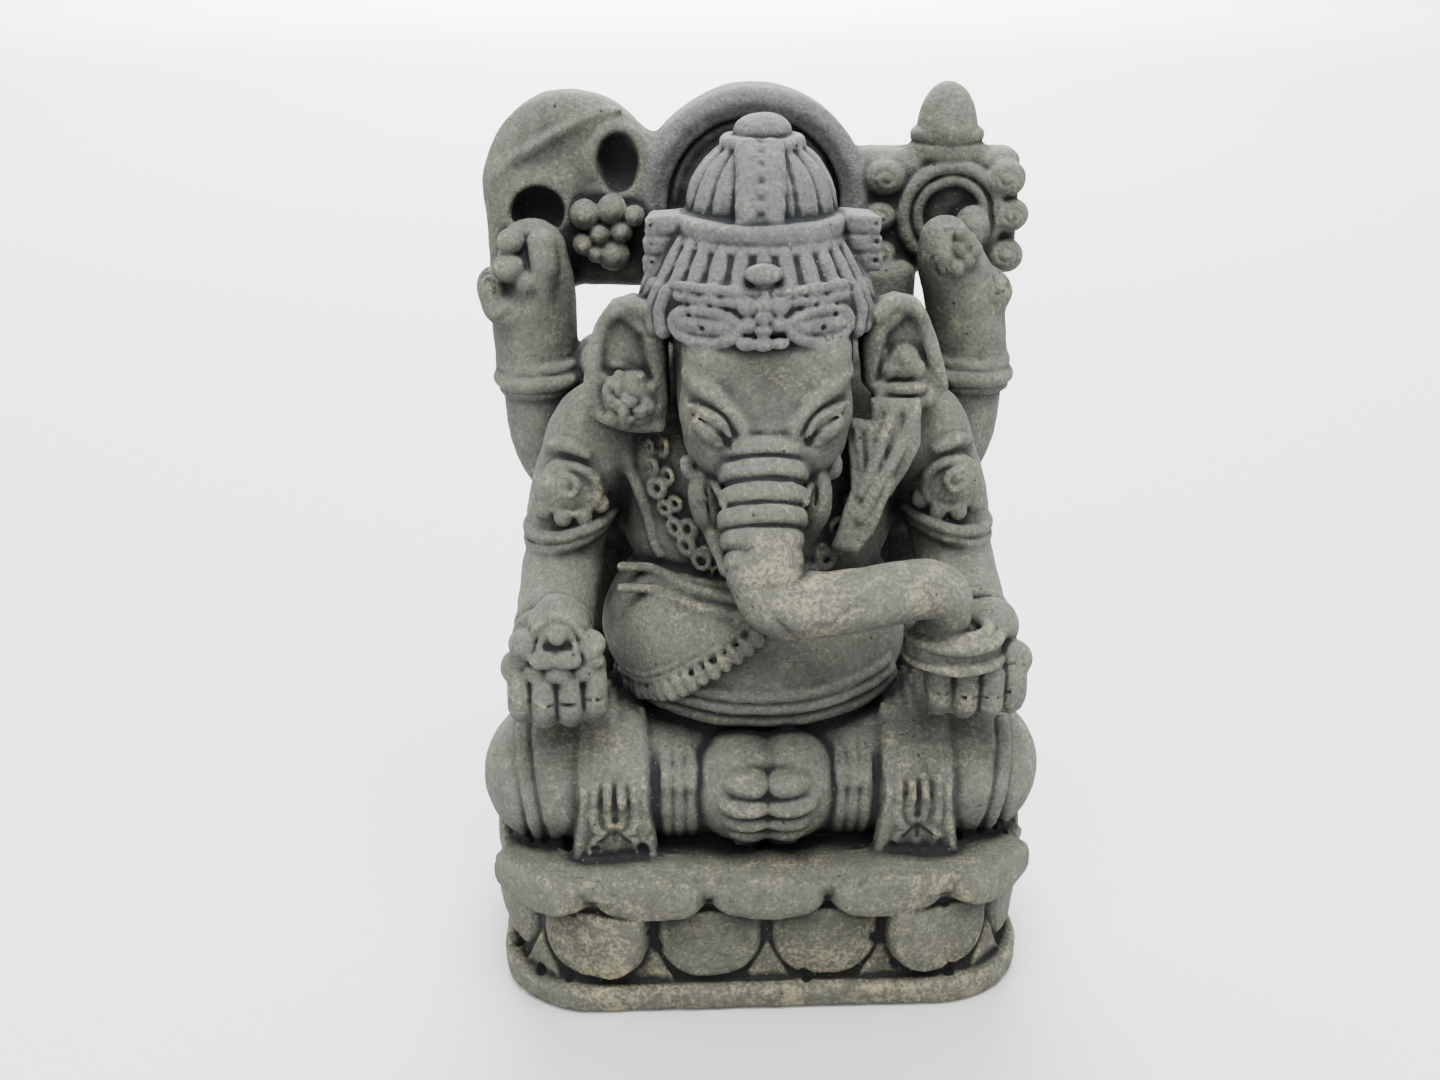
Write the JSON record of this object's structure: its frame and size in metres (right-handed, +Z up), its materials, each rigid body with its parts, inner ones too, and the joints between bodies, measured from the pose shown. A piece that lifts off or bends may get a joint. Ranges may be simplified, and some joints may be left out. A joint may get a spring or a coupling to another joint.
{
  "type": "ganesha idol",
  "caption": "Seated four-armed elephant-headed figure on a double lotus base, cast in dark volcanic stone with worn edges.",
  "frame": {"origin": "middle of the plinth's flat underside", "axes": "+Z up, -Y out of the figure's front, +X to the left hand of the figure"},
  "size_m": [0.259, 0.1999, 0.4],
  "materials": {
    "figure_stone": "cast volcanic stone, matte, dark in the hollows and worn tan on the high places",
    "crown_stone": "the same stone, weathered paler on the crown and halo",
    "base_stone": "the same stone on the lotus base, with chipped tan rims"
  },
  "bodies": {
    "root": {"armlets": "figure_stone", "axe_blade": "figure_stone", "axe_socket": "figure_stone", "back_slab": "figure_stone", "bangles": "figure_stone", "belly": "figure_stone", "bowl": "figure_stone", "chest": "figure_stone", "chest_sash": "figure_stone", "crown_base": "crown_stone", "crown_clasp": "crown_stone", "crown_dome": "crown_stone", "crown_knob": "crown_stone", "crown_wings": "crown_stone", "diadem": "crown_stone", "ear_bosses": "figure_stone", "emblem_disc": "figure_stone", "emblem_finial": "figure_stone", "emblem_lobes": "figure_stone", "emblem_ring": "figure_stone", "front_fingers": "figure_stone", "halo_disc": "crown_stone", "halo_rim": "crown_stone", "head": "figure_stone", "hips": "figure_stone", "left_arm": "figure_stone", "left_ear": "figure_stone", "left_foot": "figure_stone", "left_forearm": "figure_stone", "left_hand": "figure_stone", "left_leg": "figure_stone", "left_rear_arm": "figure_stone", "left_rear_hand": "figure_stone", "left_sash_fall": "figure_stone", "leg_pleats": "figure_stone", "lotus_drum": "base_stone", "lower_petals": "base_stone", "necklace": "figure_stone", "petal_fillers": "base_stone", "plinth": "base_stone", "rear_bracelets": "figure_stone", "rear_fingers": "figure_stone", "right_arm": "figure_stone", "right_ear": "figure_stone", "right_foot": "figure_stone", "right_forearm": "figure_stone", "right_hand": "figure_stone", "right_leg": "figure_stone", "right_rear_arm": "figure_stone", "right_rear_hand": "figure_stone", "right_sash_fall": "figure_stone", "scarf_ends": "figure_stone", "seat_slab": "base_stone", "sweet_cake": "figure_stone", "toes": "figure_stone", "trunk": "figure_stone", "trunk_root": "figure_stone", "tusks": "figure_stone", "upper_petals": "base_stone", "waist_band": "figure_stone"}
  },
  "joints": []
}
